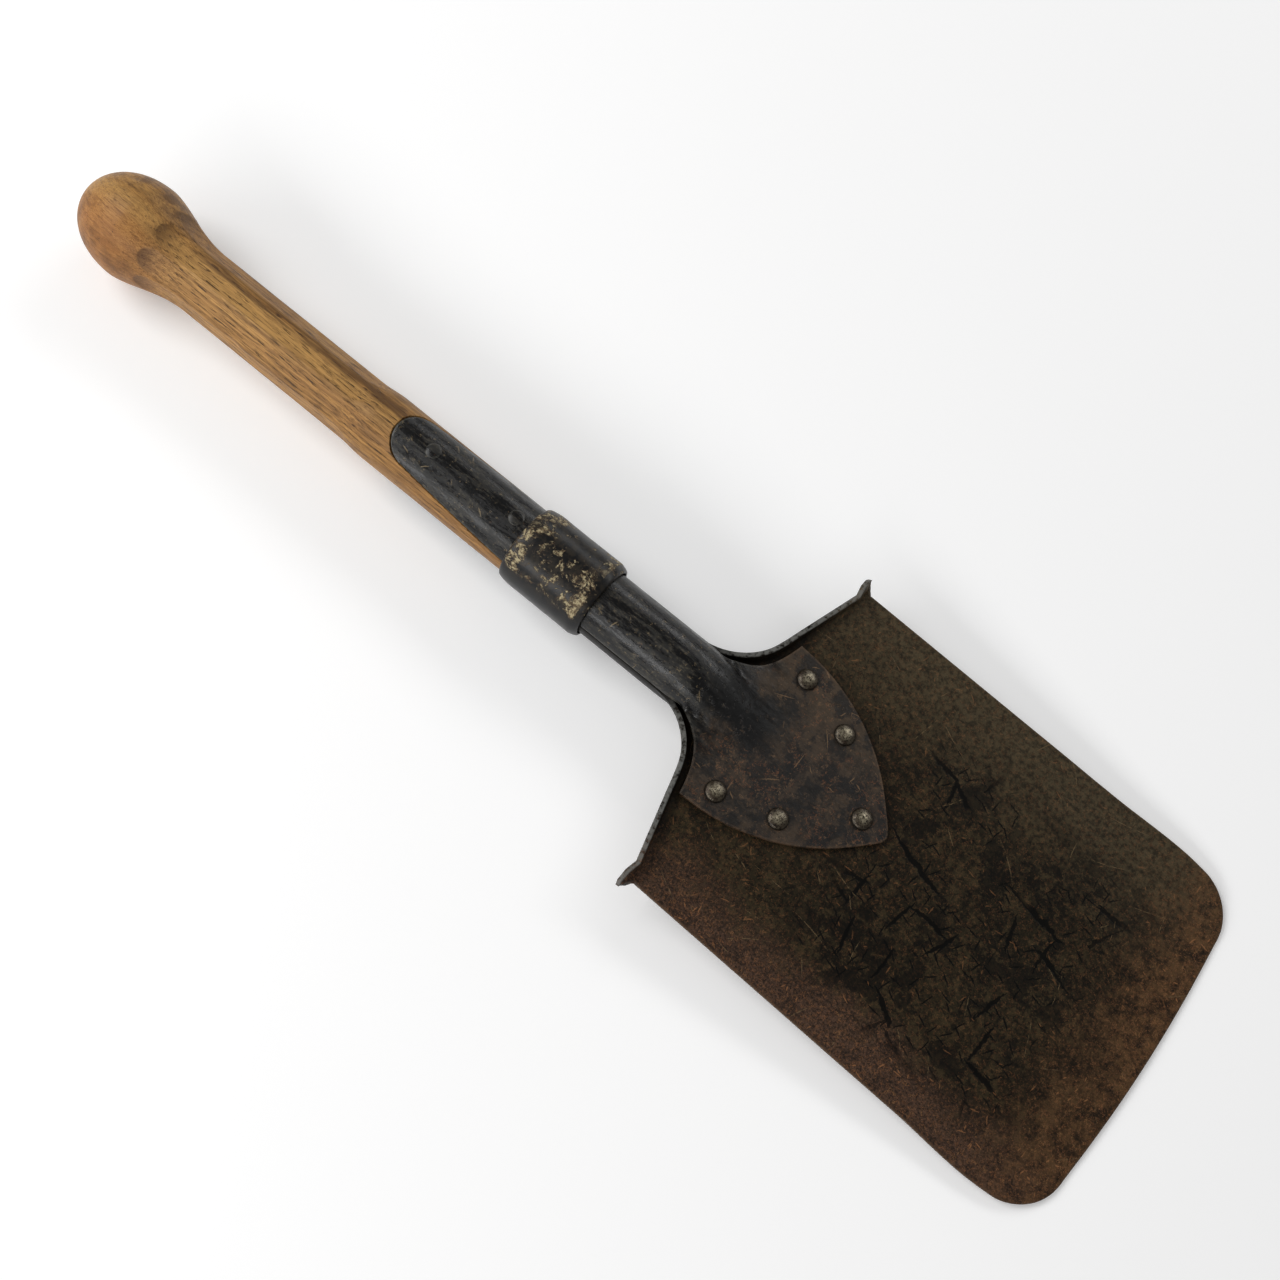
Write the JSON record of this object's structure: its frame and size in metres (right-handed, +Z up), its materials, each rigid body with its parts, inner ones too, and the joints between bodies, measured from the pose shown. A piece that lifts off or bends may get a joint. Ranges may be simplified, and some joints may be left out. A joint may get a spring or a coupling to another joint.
{
  "type": "camp shovel",
  "caption": "Short one-hand digging shovel with a knobbed wooden handle, a square flanged steel blade, and a riveted shield strap held by a steel collar.",
  "frame": {"origin": "middle of the shovel's footprint, on the ground it lies on", "axes": "+X along the shovel from knob to cutting edge, +Z up, away from the ground: the shovel lies on its back with the shield and rivets up"},
  "size_m": [0.5494, 0.165, 0.0436],
  "materials": {
    "oiled_wood": "oiled ash, darkened by hands, open dark grain",
    "worn_black_enamel": "black stoving enamel, rubbed and scratched, with small rust spots",
    "chipped_black_enamel": "black enamel chipped back to pale undercoat",
    "worn_blade_paint": "thin dark paint worn to brown steel, scratched, rusty at the edges",
    "rusty_steel": "dark rust-brown steel"
  },
  "bodies": {
    "root": {"blade": "worn_blade_paint", "front_strap": "worn_black_enamel", "collar": "chipped_black_enamel", "handle": "oiled_wood", "upper_strap_rivet": "worn_black_enamel", "lower_strap_rivet": "worn_black_enamel", "shield_rivet_1": "rusty_steel", "shield_rivet_2": "rusty_steel", "shield_rivet_3": "rusty_steel", "shield_rivet_4": "rusty_steel", "shield_rivet_5": "rusty_steel"}
  },
  "joints": []
}
